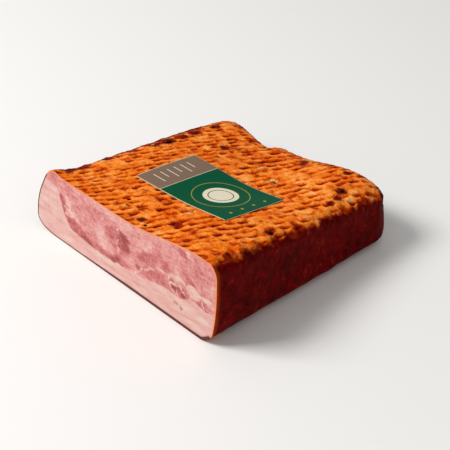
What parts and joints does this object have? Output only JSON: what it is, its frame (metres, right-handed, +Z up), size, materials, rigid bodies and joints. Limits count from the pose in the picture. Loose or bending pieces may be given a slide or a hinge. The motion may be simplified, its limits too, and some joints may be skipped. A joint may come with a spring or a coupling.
{
  "type": "smoked pork belly",
  "caption": "Square block of smoked pork belly: net-printed orange crust, dark smoked sides, a cut face of lean meat and fat over the rind, and a plain paper label on top.",
  "frame": {"origin": "on the table, under the middle of the block's footprint", "axes": "+Z up, +X along the cut face towards the thickest corner, +Y from the cut face to the back"},
  "size_m": [0.2156, 0.195, 0.0728],
  "materials": {
    "smoked_meat": "smoked crust with a slight greasy sheen; the cut face is moist lean meat and fat",
    "label_paper": "coated paper with a soft sheen"
  },
  "bodies": {
    "root": {"smoked_belly": "smoked_meat", "label": "label_paper"}
  },
  "joints": []
}
